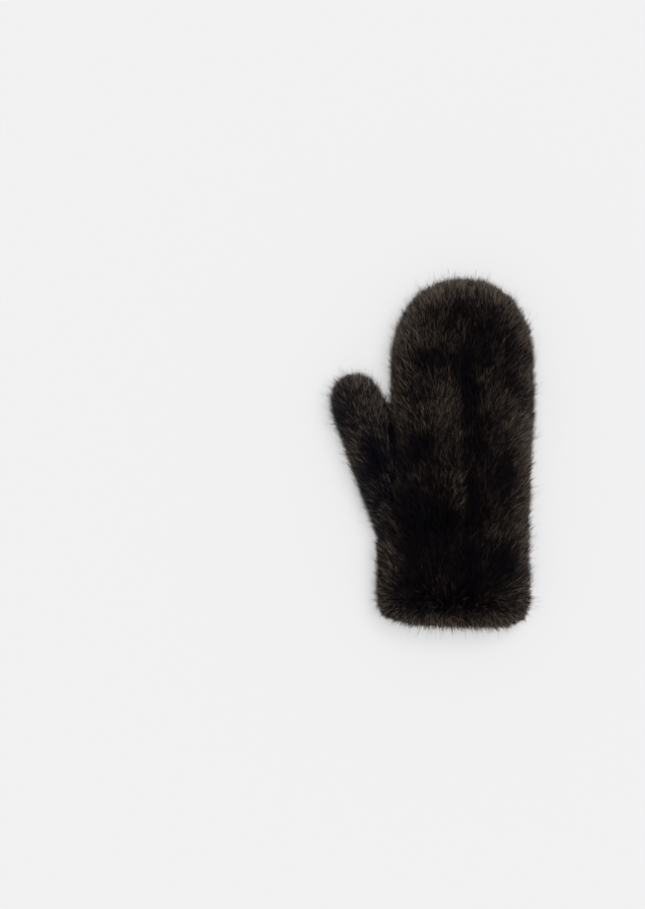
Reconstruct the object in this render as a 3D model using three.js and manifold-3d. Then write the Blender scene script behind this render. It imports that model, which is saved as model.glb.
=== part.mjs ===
// A right-hand fur mitten, lying palm down. Millimetres, +Z up, fingers to +Y, the thumb on the -X side.
// While it is being shaped, Y runs from the hem and X from the middle of the hand. The finished group is
// moved so that its origin is at the bottom centre.

import * as THREE from 'three';
import { mergeVertices } from 'three/addons/utils/BufferGeometryUtils.js';
import Module from 'manifold-3d';

// Driving sizes of the hand and the cuff, over the fur as it lies
const handLength = 208; // from the wrist seam to the fingertips
const handWidth = 115; // across the fingers
const palmWidth = 111; // across the palm, at its narrowest beside the thumb
const handHeight = 43; // from the surface that it lies on
const cuffLength = 69; // from the hem to the wrist seam
const cuffWidth = 122;
const cuffHeight = 42;
const wristWidth = 121;
const cuffShift = 7; // the cuff's middle lies this far towards the thumb
const tipLength = 70; // the stretch over which the fingertips round off
const hemRound = 8; // radius of the pile's edge round the hem
const hemBow = 10; // the hem's sides stand this far back from its middle
const hemTilt = 2; // and the thumb's side this much further, the outer side as much less

// The thumb, which leans out from the wrist
const thumbWidth = 43;
const thumbHeight = 35;
const thumbLength = 140; // from the wrist seam to its tip, along it
const thumbLean = 19; // degrees from the hand's direction
const thumbTipLength = 30;
const crotchHeight = 105; // from the wrist seam up to the crotch between thumb and hand

// The wall, its seams and the space for the hand
const wall = 10; // leather and pile together
const sideSeamHeight = 17; // of the seam between back and palm
const centreSeamShift = 2.5; // of the back's centre seam, towards the outer side
const seamGap = 0.4;
const thumbDoorWidth = 30; // the way from the hand's space into the thumb's
const thumbDoorHeight = 15;
const thumbDoorBase = 12; // where it starts, above the wrist seam
const webDepth = 18; // where it ends, below the crotch

// The locks of the pile
const lockLength = 20;
const lockWidth = 11;
const lockDepth = 3.2; // from a lock's root to its tip
const grooveWidth = 7; // over which the pile sinks towards a seam
const grooveDepth = 1;

const smooth = (x, low, high) => THREE.MathUtils.smoothstep(x, low, high);
const lerp = THREE.MathUtils.lerp;

// Sections of the hand's tube. along runs from the hem, and the other lengths follow the sizes above.
const handSections = [
  { along: 0, centre: -cuffShift, width: cuffWidth, height: 0.96 * cuffHeight },
  { along: 0.5 * cuffLength, centre: -cuffShift, width: cuffWidth, height: cuffHeight },
  { along: cuffLength, centre: -cuffShift, width: wristWidth, height: 0.94 * handHeight },
  {
    along: cuffLength + 0.16 * handLength,
    centre: -0.5 * cuffShift,
    width: 0.5 * (wristWidth + palmWidth),
    height: 0.98 * handHeight,
  },
  { along: cuffLength + 0.35 * handLength, centre: 0, width: palmWidth, height: handHeight },
  { along: cuffLength + 0.5 * handLength, centre: 0, width: handWidth, height: handHeight },
  { along: cuffLength + 0.7 * handLength, centre: 0, width: handWidth, height: 0.97 * handHeight },
  {
    along: cuffLength + handLength,
    centre: 0.01 * handWidth,
    width: handWidth,
    height: 0.92 * handHeight,
  },
];

// Sections of the thumb's tube, along its own axis from the wrist seam. The lower half is inside the hand.
const thumbSections = [
  { along: 0, centre: 0, width: 0.94 * thumbWidth, height: 0.8 * thumbHeight },
  { along: 0.45 * thumbLength, centre: 0, width: thumbWidth, height: 0.97 * thumbHeight },
  { along: thumbLength, centre: 0, width: thumbWidth, height: thumbHeight },
];

// The numbers of a section at any place along its tube, by cubic curves through the rows of its table
function sectionAt(rows, along) {
  const last = rows.length - 2;
  const found = rows.findIndex((row) => row.along > along) - 1;
  const i = found < 0 ? (along < rows[0].along ? 0 : last) : Math.min(found, last);
  const [a, b] = [rows[i], rows[i + 1]];
  const t = THREE.MathUtils.clamp((along - a.along) / (b.along - a.along), 0, 1);
  const before = rows[Math.max(i - 1, 0)];
  const after = rows[Math.min(i + 2, rows.length - 1)];
  const span = b.along - a.along;
  const column = (name) => {
    const into = ((b[name] - before[name]) / (b.along - before.along)) * span;
    const outOf = ((after[name] - a[name]) / (after.along - a.along)) * span;
    const rise = b[name] - a[name];
    return a[name] + into * t + (3 * rise - 2 * into - outOf) * t * t
      + (into + outOf - 2 * rise) * t * t * t;
  };
  return { centre: column('centre'), width: column('width'), height: column('height') };
}

// One cross-section as points evenly spaced round it, from the +X side over the top. A section is fuller
// than an ellipse, its widest line is at the side seam's height, and its underside lies on z = floor.
const fullness = 2.3;
const sag = 3; // how far the underside would hang below the surface that it lies on
const flatDensity = 0.35; // of points on the flat underside, beside those on the pile's locks

function ring({ centre, halfWidth, rise, drop, floor }, count) {
  const fine = 144;
  const outline = [];
  for (let i = 0; i <= fine; i += 1) {
    const angle = (2 * Math.PI * i) / fine;
    const bend = (value) => Math.sign(value) * Math.abs(value) ** (2 / fullness);
    const x = centre + halfWidth * bend(Math.cos(angle));
    const z = sideSeamHeight + (Math.sin(angle) > 0 ? rise : drop) * bend(Math.sin(angle));
    outline.push(new THREE.Vector2(x, Math.max(z, floor)));
  }
  const lengths = [0];
  for (let i = 1; i <= fine; i += 1) {
    const flat = outline[i].y === floor && outline[i - 1].y === floor;
    lengths.push(lengths[i - 1] + outline[i].distanceTo(outline[i - 1]) * (flat ? flatDensity : 1));
  }
  const points = [];
  let at = 0;
  for (let k = 0; k < count; k += 1) {
    const wanted = (lengths[fine] * k) / count;
    while (lengths[at + 1] < wanted) at += 1;
    const share = (wanted - lengths[at]) / (lengths[at + 1] - lengths[at] || 1);
    points.push(outline[at].clone().lerp(outline[at + 1], share));
  }
  return points;
}

// The rings of a tube that ends in a rounded tip. The last ring is one point. A wall thickness makes it
// the space inside, whose tip and sides are that much nearer. start may lie before the first section.
function tubeRings({ sections, end, tip, start, step, columns, inset = 0, roundHem = 0, bow = 0, tilt = 0 }) {
  const tipInside = tip - inset;
  const tipStart = end - tip;
  const tipRows = Math.max(6, Math.ceil((1.1 * tipInside) / step));
  const bodyRows = Math.max(4, Math.round((tipStart - start) / step));
  const places = [];
  for (let i = 0; i < bodyRows; i += 1) {
    places.push({ along: lerp(start, tipStart, i / bodyRows), share: 0 });
  }
  for (let i = 0; i <= tipRows; i += 1) {
    const share = Math.sin((0.5 * Math.PI * i) / tipRows);
    places.push({ along: tipStart + tipInside * share, share });
  }
  const roundPlan = 2.2; // how square the tip is from above
  const roundSide = 5; // how late it thins, seen from the side
  return places.map(({ along, share }) => {
    const { centre, width, height } = sectionAt(sections, along);
    const narrow = Math.max(1 - share ** roundPlan, 0) ** (1 / roundPlan);
    const thin = Math.max(1 - share ** roundSide, 0) ** (1 / roundPlan);
    const fromHem = along - start;
    const edge = fromHem < roundHem ? roundHem - Math.sqrt(roundHem ** 2 - (roundHem - fromHem) ** 2) : 0;
    const section = {
      centre,
      halfWidth: (0.5 * width - inset - edge) * narrow,
      rise: (height - sideSeamHeight - inset - edge) * thin,
      drop: (sideSeamHeight + (inset ? -inset : sag - 0.7 * edge)) * thin,
      floor: inset,
    };
    if (share === 1) return [new THREE.Vector3(centre, along, sideSeamHeight)];
    return ring(section, columns).map((p) => {
      const aside = (p.x - centre) / (0.5 * width);
      const fade = 1 - smooth(fromHem, 0, 4 * roundHem + 1);
      const back = (bow * Math.abs(aside) ** 3 - tilt * aside) * fade;
      return new THREE.Vector3(p.x, along + back, p.y);
    });
  });
}

// Pulls the pile into locks: staggered shingles whose tips stand out along the nap, sunk along the seams
const lockRows = 4;
const lockProfile = [0.1, 0.5, 0.85, 1]; // from a lock's root to its tip
const valley = 0.15; // of a lock's two long edges
const overhang = 0.4; // how far a tip runs on past its own root row, as a share of the lock's depth

function lockHeight(row, column) {
  const lock = Math.floor(column / 2);
  const shifted = row + (lock % 2) * (lockRows / 2);
  const phase = shifted % lockRows;
  const number = Math.floor(shifted / lockRows);
  const chance = Math.abs(Math.sin(12.9898 * lock + 78.233 * number) * 43758.5453) % 1;
  const full = column % 2 === 1;
  return full ? { height: lockProfile[phase] * lerp(0.65, 1, chance), tip: phase === lockRows - 1 }
    : { height: valley, tip: false };
}

function drawLocks(rings) {
  const columns = rings[0].length;
  const typical = 0.45; // of a lock's depth, so that the drawn surface keeps the section's size
  return rings.map((points, row) => {
    if (points.length === 1 || row === 0) return points;
    return points.map((point, column) => {
      const ahead = rings[row + 1].length === 1 ? rings[row + 1][0] : rings[row + 1][column];
      const alongSurface = ahead.clone().sub(rings[row - 1][column]);
      const before = points[(column + columns - 1) % columns];
      const roundSurface = points[(column + 1) % columns].clone().sub(before);
      const spread = roundSurface.length() / lockWidth; // 1 where a lock has its full width
      const normal = roundSurface.cross(alongSurface).negate().normalize();
      const offFloor = smooth(point.z, 0.5, 7);
      const offSeam = smooth(fromSeam(point), 1, grooveWidth);
      const drawn = offFloor * offSeam * smooth(spread, 0.2, 0.8);
      const { height, tip } = lockHeight(row, column);
      const raise = lockDepth * (height - typical) * drawn - grooveDepth * offFloor * (1 - offSeam);
      const run = tip ? overhang * lockDepth * drawn : 0;
      const moved = point.clone().addScaledVector(normal, raise);
      moved.addScaledVector(alongSurface.normalize(), run);
      moved.z = Math.max(moved.z, 0);
      return moved;
    });
  });
}

// A closed surface through rings of equal count, with a flat end at the first and a point at the last
function loft(rings) {
  const columns = rings[0].length;
  const points = rings.flat();
  const first = rings[0].reduce((sum, p) => sum.add(p), new THREE.Vector3()).divideScalar(columns);
  points.push(first);
  const indices = [];
  const at = (row, column) => row * columns + (column % columns);
  for (let row = 0; row < rings.length - 2; row += 1) {
    for (let c = 0; c < columns; c += 1) {
      const [a, b, ahead, besideAhead] = [at(row, c), at(row, c + 1), at(row + 1, c), at(row + 1, c + 1)];
      // Each pair of triangles meets on a line from a valley up to a lock's ridge
      if (c % 2 === 0) indices.push(a, besideAhead, b, a, ahead, besideAhead);
      else indices.push(a, ahead, b, b, ahead, besideAhead);
    }
  }
  const tip = points.length - 2;
  for (let c = 0; c < columns; c += 1) {
    indices.push(at(rings.length - 2, c), tip, at(rings.length - 2, c + 1));
    indices.push(points.length - 1, at(0, c), at(0, c + 1));
  }
  const geometry = new THREE.BufferGeometry().setFromPoints(points);
  geometry.setIndex(indices);
  return geometry;
}

const wasm = await Module();
wasm.setup();

function solidOf(geometry) {
  const plain = geometry.clone();
  plain.deleteAttribute('normal');
  plain.deleteAttribute('uv');
  const merged = mergeVertices(plain);
  return new wasm.Manifold(new wasm.Mesh({
    numProp: 3,
    vertProperties: new Float32Array(merged.attributes.position.array),
    triVerts: new Uint32Array(merged.index.array),
  }));
}

function geometryOf(solid) {
  const { vertProperties, triVerts } = solid.getMesh();
  const geometry = new THREE.BufferGeometry();
  geometry.setAttribute('position', new THREE.BufferAttribute(vertProperties, 3));
  geometry.setIndex(new THREE.BufferAttribute(triVerts, 1));
  geometry.computeVertexNormals();
  return geometry;
}

// Places worked out from the sizes
const total = cuffLength + handLength;
const lean = THREE.MathUtils.degToRad(thumbLean);
const wristLeft = -cuffShift - 0.5 * wristWidth;
const thumbFoot = new THREE.Vector3(wristLeft + (0.5 * thumbWidth) / Math.cos(lean), cuffLength, 0);
const crotch = new THREE.Vector2(-0.5 * handWidth, cuffLength + crotchHeight);
const reach = 2 * total; // longer than anything that it has to cut

// The thumb's seam from above, from the wrist up to the crotch and on between the thumb's tip and the hand
const thumbSeam = [
  new THREE.Vector2(wristLeft + 1.15 * wall, 0),
  new THREE.Vector2(wristLeft + 1.15 * wall, cuffLength),
  new THREE.Vector2(-0.5 * palmWidth + 0.15 * wall, cuffLength + 0.35 * handLength),
  crotch,
  new THREE.Vector2(crotch.x - 0.1 * thumbWidth, crotch.y + 0.32 * thumbWidth),
  new THREE.Vector2(crotch.x - 0.42 * thumbWidth, crotch.y + reach),
];

function distanceToThumbSeam(x, y) {
  let least = Infinity;
  for (let i = 1; i < thumbSeam.length - 1; i += 1) {
    const line = new THREE.Line3(
      new THREE.Vector3(thumbSeam[i - 1].x, thumbSeam[i - 1].y, 0),
      new THREE.Vector3(thumbSeam[i].x, thumbSeam[i].y, 0),
    );
    const point = new THREE.Vector3(x, y, 0);
    least = Math.min(least, line.closestPointToPoint(point, true, new THREE.Vector3()).distanceTo(point));
  }
  return least;
}

// How far a point of the pile is from the nearest seam, in the shaping frame
function fromSeam({ x, y, z }) {
  const centre = z > sideSeamHeight ? Math.abs(x - centreSeamShift) : Infinity;
  const wrist = Math.abs(y - cuffLength);
  return Math.min(centre, wrist, distanceToThumbSeam(x, y));
}

// How many points go round a tube at about that spacing, fewer on its flat underside
function columnsRound(width, height, spacing) {
  const girth = Math.PI * 0.54 * (width + height) - (1 - flatDensity) * 0.65 * width;
  return 4 * Math.max(3, Math.round(girth / (4 * spacing)));
}

// The hand and cuff as one tube from hem to fingertips, and the spaces inside the tubes
const rowStep = lockLength / lockRows;
const handTube = {
  sections: handSections,
  end: total,
  tip: tipLength,
  start: 0,
  step: rowStep,
  columns: columnsRound(handWidth, handHeight, 0.5 * lockWidth),
  roundHem: hemRound,
  bow: hemBow,
  tilt: hemTilt,
};
const handSpace = {
  ...handTube,
  inset: wall,
  start: -2 * hemRound,
  step: 2 * rowStep,
  columns: columnsRound(handWidth, handHeight, lockWidth),
  roundHem: 0,
  bow: 0,
  tilt: 0,
};
const thumbTube = {
  sections: thumbSections,
  end: thumbLength,
  tip: thumbTipLength,
  start: 0,
  step: rowStep,
  columns: columnsRound(thumbWidth, thumbHeight, 0.5 * lockWidth),
};
const thumbSpace = {
  ...thumbTube,
  inset: wall,
  start: thumbDoorBase,
  step: 2 * rowStep,
  columns: columnsRound(thumbWidth, thumbHeight, lockWidth),
};

const toThumb = new THREE.Matrix4().makeRotationZ(lean).setPosition(thumbFoot);
const leaned = (rings) => rings.map((points) => points.map((p) => p.clone().applyMatrix4(toThumb)));

// The way into the thumb: an oval hole through the hand's side, from above the wrist to the web
function thumbDoor() {
  const low = cuffLength + thumbDoorBase;
  const high = crotch.y - webDepth;
  const oval = new THREE.Shape();
  oval.absellipse(0.5 * (low + high), sideSeamHeight, 0.5 * (high - low), 0.5 * thumbDoorHeight);
  const depth = thumbDoorWidth;
  const geometry = new THREE.ExtrudeGeometry(oval, { depth, curveSegments: 20, bevelEnabled: false });
  const [alongX, alongY, alongZ] = [[1, 0, 0], [0, 1, 0], [0, 0, 1]].map((v) => new THREE.Vector3(...v));
  geometry.applyMatrix4(new THREE.Matrix4().makeBasis(alongY, alongZ, alongX));
  geometry.translate(-0.5 * palmWidth + 0.6 * wall - 0.5 * thumbDoorWidth, 0, 0);
  return solidOf(geometry);
}

const pile = solidOf(loft(drawLocks(tubeRings(handTube))))
  .add(solidOf(loft(drawLocks(leaned(tubeRings(thumbTube))))));
const space = solidOf(loft(tubeRings(handSpace)))
  .add(solidOf(loft(leaned(tubeRings(thumbSpace)))))
  .add(thumbDoor());
const shell = pile.subtract(space);

// Everything between two corners
function block(low, high) {
  const size = high.clone().sub(low);
  const geometry = new THREE.BoxGeometry(size.x, size.y, size.z);
  geometry.translate(...low.clone().add(high).multiplyScalar(0.5).toArray());
  return solidOf(geometry);
}

// Everything on one side of the thumb's seam, clear of it by half of the gap. side is -1 for the thumb's.
function besideThumbSeam(side) {
  const edge = thumbSeam.map((p) => new THREE.Vector2(p.x + 0.5 * side * seamGap, p.y));
  const far = [new THREE.Vector2(side * reach, edge.at(-1).y), new THREE.Vector2(side * reach, edge[0].y)];
  const shape = new THREE.Shape([...edge, ...far]);
  const geometry = new THREE.ExtrudeGeometry(shape, { depth: reach, bevelEnabled: false });
  return solidOf(geometry.translate(0, 0, -0.5 * reach));
}

const half = 0.5 * seamGap;
const far = new THREE.Vector3(reach, reach, reach);
const near = far.clone().negate();
const belowWrist = block(near, new THREE.Vector3(reach, cuffLength - half, reach));
const aboveWrist = block(new THREE.Vector3(-reach, cuffLength + half, -reach), far);
const upperHalf = block(new THREE.Vector3(-reach, -reach, sideSeamHeight + half), far);
const lowerHalf = block(near, new THREE.Vector3(reach, reach, sideSeamHeight - half));
const outerSide = block(new THREE.Vector3(centreSeamShift + half, -reach, -reach), far);
const thumbSide = block(near, new THREE.Vector3(centreSeamShift - half, reach, reach));

const mitt = shell.intersect(aboveWrist);
const hand = mitt.intersect(besideThumbSeam(1));
const back = hand.intersect(upperHalf);

// The pelt's colours, dark brown with a cooler thumb and a slightly lighter cuff
const pieces = {
  back_thumb_side: { solid: back.intersect(thumbSide), color: '#231d1c' },
  back_outer_side: { solid: back.intersect(outerSide), color: '#1b1517' },
  palm: { solid: hand.intersect(lowerHalf), color: '#1a1514' },
  thumb: { solid: mitt.intersect(besideThumbSeam(-1)), color: '#242123' },
  cuff: { solid: shell.intersect(belowWrist), color: '#1e1917' },
};

const mitten = new THREE.Group();
mitten.name = 'fur_mitten';
for (const [name, { solid, color }] of Object.entries(pieces)) {
  const material = new THREE.MeshStandardMaterial({ color, roughness: 0.85, metalness: 0 });
  const mesh = new THREE.Mesh(geometryOf(solid), material);
  mesh.name = name;
  mitten.add(mesh);
}

const box = new THREE.Box3().setFromObject(mitten);
const middle = box.getCenter(new THREE.Vector3());
mitten.position.set(-middle.x, -middle.y, -box.min.z);

export default mitten;
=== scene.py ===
"""A right-hand mitten of deep dark mink that lies palm down: its pelts, their pile and a plain stage.

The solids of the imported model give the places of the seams. The pelts are lofted again under the pile's
surface, at the same sizes in millimetres, and the pile grows out of them as separate strands.
"""

import math
from collections import namedtuple

import bpy
import numpy as np
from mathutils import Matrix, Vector, noise
from mathutils.bvhtree import BVHTree
from mathutils.kdtree import KDTree


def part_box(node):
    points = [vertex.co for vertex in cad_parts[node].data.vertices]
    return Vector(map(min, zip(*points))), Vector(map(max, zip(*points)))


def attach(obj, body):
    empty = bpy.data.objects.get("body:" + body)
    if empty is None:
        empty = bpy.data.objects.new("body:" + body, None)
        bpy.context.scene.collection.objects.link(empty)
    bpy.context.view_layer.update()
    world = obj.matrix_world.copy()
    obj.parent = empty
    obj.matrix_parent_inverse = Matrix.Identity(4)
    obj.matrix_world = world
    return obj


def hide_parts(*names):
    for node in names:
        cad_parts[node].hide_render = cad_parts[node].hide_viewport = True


bl_info = {
    "name": "Fur mitten",
    "version": (1, 0, 0),
    "blender": (4, 5, 0),
    "location": "3D View > Sidebar > Mitten",
    "description": "Dresses a mitten in pelts with a deep pile and sets it on a pale stage",
    "category": "Object",
}

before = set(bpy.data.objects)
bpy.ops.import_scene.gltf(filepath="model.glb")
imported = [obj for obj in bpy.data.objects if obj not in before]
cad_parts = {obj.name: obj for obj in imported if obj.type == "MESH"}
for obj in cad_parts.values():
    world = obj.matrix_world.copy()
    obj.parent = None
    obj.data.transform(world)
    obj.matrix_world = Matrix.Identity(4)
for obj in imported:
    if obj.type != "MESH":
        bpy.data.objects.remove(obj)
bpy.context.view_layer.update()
MM = 0.001
VECTOR = "FLOAT_VECTOR"

# Seams, from the frame, in millimetres
SEAM_GAP = 0.4  # that the solids leave at the wrist
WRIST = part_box("cuff")[1].y / MM + 0.5 * SEAM_GAP
CENTRE_SEAM = 0.5 * (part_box("back_thumb_side")[1].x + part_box("back_outer_side")[0].x) / MM
SIDE_SEAM = 0.5 * (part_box("palm")[1].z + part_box("back_outer_side")[0].z) / MM
MIDDLE = CENTRE_SEAM - 2.5  # of the hand, across

# Sizes over the pile as it lies, in millimetres
HAND_LENGTH = 208
HAND_WIDTH = 115
PALM_WIDTH = 111
HAND_HEIGHT = 43
CUFF_LENGTH = 69
CUFF_WIDTH = 122
CUFF_HEIGHT = 42
WRIST_WIDTH = 121
HEEL_WIDTH = 0.5 * (WRIST_WIDTH + PALM_WIDTH)
CUFF_SHIFT = 7  # of the cuff's middle, towards the thumb
TIP_LENGTH = 70
HEM_ROUND = 8
HEM_BOW = 10
HEM_BOW_REACH = 4 * HEM_ROUND
HEM_BOW_POWER = 7  # high, so that only the hem's corners go back
HEM_TILT = 2
THUMB_WIDTH = 43
THUMB_HEIGHT = 35
THUMB_LENGTH = 140
THUMB_TIP_LENGTH = 30
THUMB_LEAN = math.radians(19)
CROTCH_HEIGHT = 105
WALL = 10  # leather and pile together
DOOR_WIDTH = 30  # the way from the hand's space into the thumb's
DOOR_HEIGHT = 15
DOOR_BASE = 12
WEB_DEPTH = 18
WEB_FOOT = 30  # how far under the waist it starts
WEB_BASE = 5
WEB_COVER = 1  # over the way into the thumb
FULLNESS = 2.3  # of a section, where 2 is an ellipse
SAG = 3  # of the underside, into the surface that it lies on
TIP_ROUND_PLAN = 2.2  # from above, where 2 is an ellipse
TIP_ROUND_SIDE = 5
WAIST = 0.35 * HAND_LENGTH  # where the palm is narrowest
HAND_ROUND = 260  # about how far round, which gives the number of points
THUMB_ROUND = 105
ROUND_STEPS = 144  # of a cross-section, before its points are spaced evenly

HEM = WRIST - CUFF_LENGTH
TOTAL = CUFF_LENGTH + HAND_LENGTH

# Sections: how far along, the centre across, the width and the height
HAND_SECTIONS = [
    (0, -CUFF_SHIFT, CUFF_WIDTH, 0.96 * CUFF_HEIGHT),
    (0.5 * CUFF_LENGTH, -CUFF_SHIFT, CUFF_WIDTH, CUFF_HEIGHT),
    (CUFF_LENGTH, -CUFF_SHIFT, WRIST_WIDTH, 0.94 * HAND_HEIGHT),
    (CUFF_LENGTH + 0.16 * HAND_LENGTH, -0.5 * CUFF_SHIFT, HEEL_WIDTH, 0.98 * HAND_HEIGHT),
    (CUFF_LENGTH + WAIST, 0, PALM_WIDTH, HAND_HEIGHT),
    (CUFF_LENGTH + 0.5 * HAND_LENGTH, 0, HAND_WIDTH, HAND_HEIGHT),
    (CUFF_LENGTH + 0.7 * HAND_LENGTH, 0, HAND_WIDTH, 0.97 * HAND_HEIGHT),
    (TOTAL, 0.01 * HAND_WIDTH, HAND_WIDTH, 0.92 * HAND_HEIGHT),
]
THUMB_SECTIONS = [
    (0, 0, 0.94 * THUMB_WIDTH, 0.8 * THUMB_HEIGHT),
    (0.45 * THUMB_LENGTH, 0, THUMB_WIDTH, 0.97 * THUMB_HEIGHT),
    (THUMB_LENGTH, 0, THUMB_WIDTH, THUMB_HEIGHT),
]

# The thumb's foot and the seam between thumb and hand, from above, in the frame
WRIST_LEFT = MIDDLE - CUFF_SHIFT - 0.5 * WRIST_WIDTH
THUMB_FOOT = np.array([WRIST_LEFT + 0.5 * THUMB_WIDTH / math.cos(THUMB_LEAN), WRIST, 0])
THUMB_WAY = np.array([-math.sin(THUMB_LEAN), math.cos(THUMB_LEAN), 0])
THUMB_ACROSS = np.array([math.cos(THUMB_LEAN), math.sin(THUMB_LEAN), 0])
DOOR_MIDDLE = MIDDLE - 0.5 * PALM_WIDTH + 0.6 * WALL
CROTCH = (MIDDLE - 0.5 * HAND_WIDTH, WRIST + CROTCH_HEIGHT)
FAR = 600  # past everything
THUMB_SEAM = [
    (WRIST_LEFT + 1.15 * WALL, WRIST),
    (MIDDLE - 0.5 * PALM_WIDTH + 0.15 * WALL, WRIST + WAIST),
    CROTCH,
    (CROTCH[0] - 0.1 * THUMB_WIDTH, CROTCH[1] + 0.32 * THUMB_WIDTH),
    (CROTCH[0] - 0.42 * THUMB_WIDTH, CROTCH[1] + FAR),
]

# How the pile is combed, with reaches in millimetres and turns in degrees. A tone goes from 0, the
# deepest colour, to 1, the lightest.
TOP_FACING = (-0.3, 0.4)  # rise of the outward way where the topside begins and is complete
UNDER_FACING = (0.5, 0.95)
FAN_POWER = 1.3
THUMB_FAN_POWER = 1.2
DROOP = -0.25  # of the pile that faces sideways
DROOP_LOWEST = -0.2  # rise of the outward way under which nothing droops
THUMB_TONE = 0.13  # added all over the thumb
CUFF_TONE = -0.07
CUFF_TONE_REACH = 0.2  # of the way down the cuff
THUMB_INNER_FAN = 25  # at the thumb's side towards the hand
HAND_INNER_LESS = 0.5  # share of its fan that the hand loses there
HAND_INNER_END = 20  # past the crotch
# The painted rim light: strands round the outline, the tips and the hem are painted lighter
RIM_START = 0.62  # of the way from the middle to the outline
RIM_FADE = 8  # round the crotch, below which thumb and hand have no rim between them
RIM_SIDE = 0.55  # share of the painted rim light on what faces sideways
HEM_RIM = 0.95
HEM_RIM_REACH = 22
HEM_RIM_FADE = 14
SEAM_LEAN = 3.5  # how far the pile leans over the centre seam
SEAM_BLEND = 2.5
SEAM_END = (60, 105)  # where the centre seam fades
SEAM_LOSS = 0.8
SEAM_FAN = 16
SEAM_FAN_STEP = -24  # from one side of the centre seam to the other
SEAM_FAN_REACH = 14
# Tone painted lighter beside the centre seam on the thumb's side and darker on the outer side, as painted
# sheen and painted shade
SEAM_PAINTED_LIGHT = 0.06
SEAM_PAINTED_LIGHT_STEP = -0.15
SEAM_PAINTED_LIGHT_REACH = 12
CREASE_START = (-42, -30)  # over the crotch
CREASE_END = (2, 16)
CREASE_REACH = 2.4
CREASE_OPENING = 1.6  # how much further it reaches at the crotch
CREASE_OPENING_START = -34
CREASE_FAN_REACH = 7
CREASE_FAN_THUMB = 22
CREASE_FAN_HAND = 30
HEM_TURN = (0.5, 0.86)  # of the way down the cuff
SIDE_LIFT = 10
FACING_LIFT = 16  # where the pile would run straight out of the surface
PARTING_LIFT = 22  # where it parts above the hem
PARTING_UNRULY = 1.5
UNDER_LIFT = 9  # the whole lift of the pile that the mitten lies on
CREASE_SHORTER = 0.65
CORNER_SHORTER = 0.4  # at the hem's corners
CORNER_ASIDE = (0.55, 0.87)  # of the half width, where a corner begins and is complete
CORNER_DOWN = (0.55, 0.85)
LEAST_FLOW = 0.05  # below which a direction isn't scaled up
TONE_SKEW = 2.5  # few strands are much lighter than the others
TONE_MEAN = 0.29  # of a share from 0 to 1 raised to that power

# Noise in the pile: how much it adds, how large its clouds are in millimetres, and its own place
FAN_SWIRLS = [(20, 22, 1), (14, 8, 2)]
TONE_SWIRLS = [(0.1, 17, 3), (0.06, 6, 4)]
LIFT_SWIRL = (5, 9, 5)
LENGTH_SWIRL = (0.12, 11, 6)
HEM_FAN_SWIRL = (20, 9, 7)
HEM_LINE_SWIRL = (0.16, 12, 8)

# Places where the pile is ruffled, with its tone painted lighter or darker than around them: painted
# sheen where the nap catches the light and painted shade where it turns from it. A row gives x and y, how
# far the place reaches across and along, how much lighter its tone is painted, and how many degrees its
# strands turn towards the outer side and stand up.
RUFFLES = [
    (6, 28, 10, 15, 0.29, 22, 8),
    (18, -32, 6, 14, 0.08, 18, 6),
    (53, 34, 9, 20, 0.15, 0, 6),
    (49, -60, 8, 9, 0.12, 6, 6),
    (65, 10, 8, 15, 0.22, 0, 4),
    (-16, 32, 6, 8, 0.08, 0, 2),
    (-18, 98, 14, 22, 0.11, 0, 5),
    (-6, 120, 15, 8, 0.3, 0, 2),
    (66, 110, 10, 16, 0.2, 0, 4),
    (12, 133, 24, 9, 0.24, 0, 4),
    (-25, 20, 8, 15, 0.33, 0, 4),
    (-58, 58, 9, 11, 0.52, 0, 6),
    (-48, 34, 7, 14, 0.18, 0, 4),
    (-65, -7, 6, 15, 0.42, 0, 4),
    (-49, -21, 5, 9, -0.26, 0, -2),
    (-38, -36, 7, 10, -0.14, 0, -2),
    (-58, -44, 6, 11, 0.1, 0, 4),
    (-25, -90, 7, 12, 0.18, 0, 4),
    (24, 64, 9, 18, -0.22, 0, -4),
    (-2, 68, 16, 7, -0.12, 0, -2),
    (-6, 86, 14, 8, 0.13, 0, 3),
    (54, 52, 7, 12, -0.14, 0, -2),
    (38, 78, 10, 12, -0.08, 0, -2),
    (17, 104, 11, 10, -0.1, 8, -3),
    (46, 92, 14, 12, -0.1, -6, -3),
    (29, 40, 6, 18, -0.12, 0, -3),
    (34, 4, 8, 14, -0.12, 0, -3),
    (48, -18, 12, 18, -0.16, 0, -3),
    (57, -36, 7, 14, -0.1, 0, -2),
    (31, -40, 6, 15, -0.14, 0, -3),
    (6, -60, 16, 16, -0.34, 0, -4),
    (-14, -42, 16, 16, -0.24, 0, -3),
    (-50, 2, 6, 10, -0.12, 0, -3),
    (-41, -8, 8, 15, -0.3, 0, -3),
    (-62, 22, 5, 11, -0.16, 0, -3),
    (-73, 29, 6, 14, -0.36, 0, 0),
    (-40, -86, 6, 24, -0.36, 0, -2),
    (-18, -12, 8, 8, -0.12, 0, -2),
    (20, -131, 9, 8, -0.26, 0, 0),
    (-16, -94, 10, 14, -0.22, 0, -3),
    (20, -92, 14, 18, -0.18, 0, -3),
    (-8, 5, 14, 11, -0.22, 0, -2),
    (8, -16, 12, 8, -0.08, 0, -2),
    (54, -86, 12, 12, -0.2, 0, -2),
    (70, -106, 6, 9, -0.14, 0, 0),
    (70, 30, 6, 10, -0.14, 0, 0),
    (70, 76, 6, 9, -0.2, 0, 0),
    (-14, -66, 8, 12, -0.12, 0, -2),
]

PELTS = {
    "cuff": "fur_cuff",
    "palm": "fur_palm",
    "thumb": "fur_thumb",
    "back_thumb_side": "fur_back",
    "back_outer_side": "fur_back",
}

# How the strands of a layer gather and stray, by the names of the strand tree's inputs
HABITS = ["Tuft Density", "Tuft Pull", "Shortest Share", "Stray", "Tuft Stray"]
HABITS += ["Tone Spread", "Tuft Tone Spread", "Tone Share"]

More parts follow.
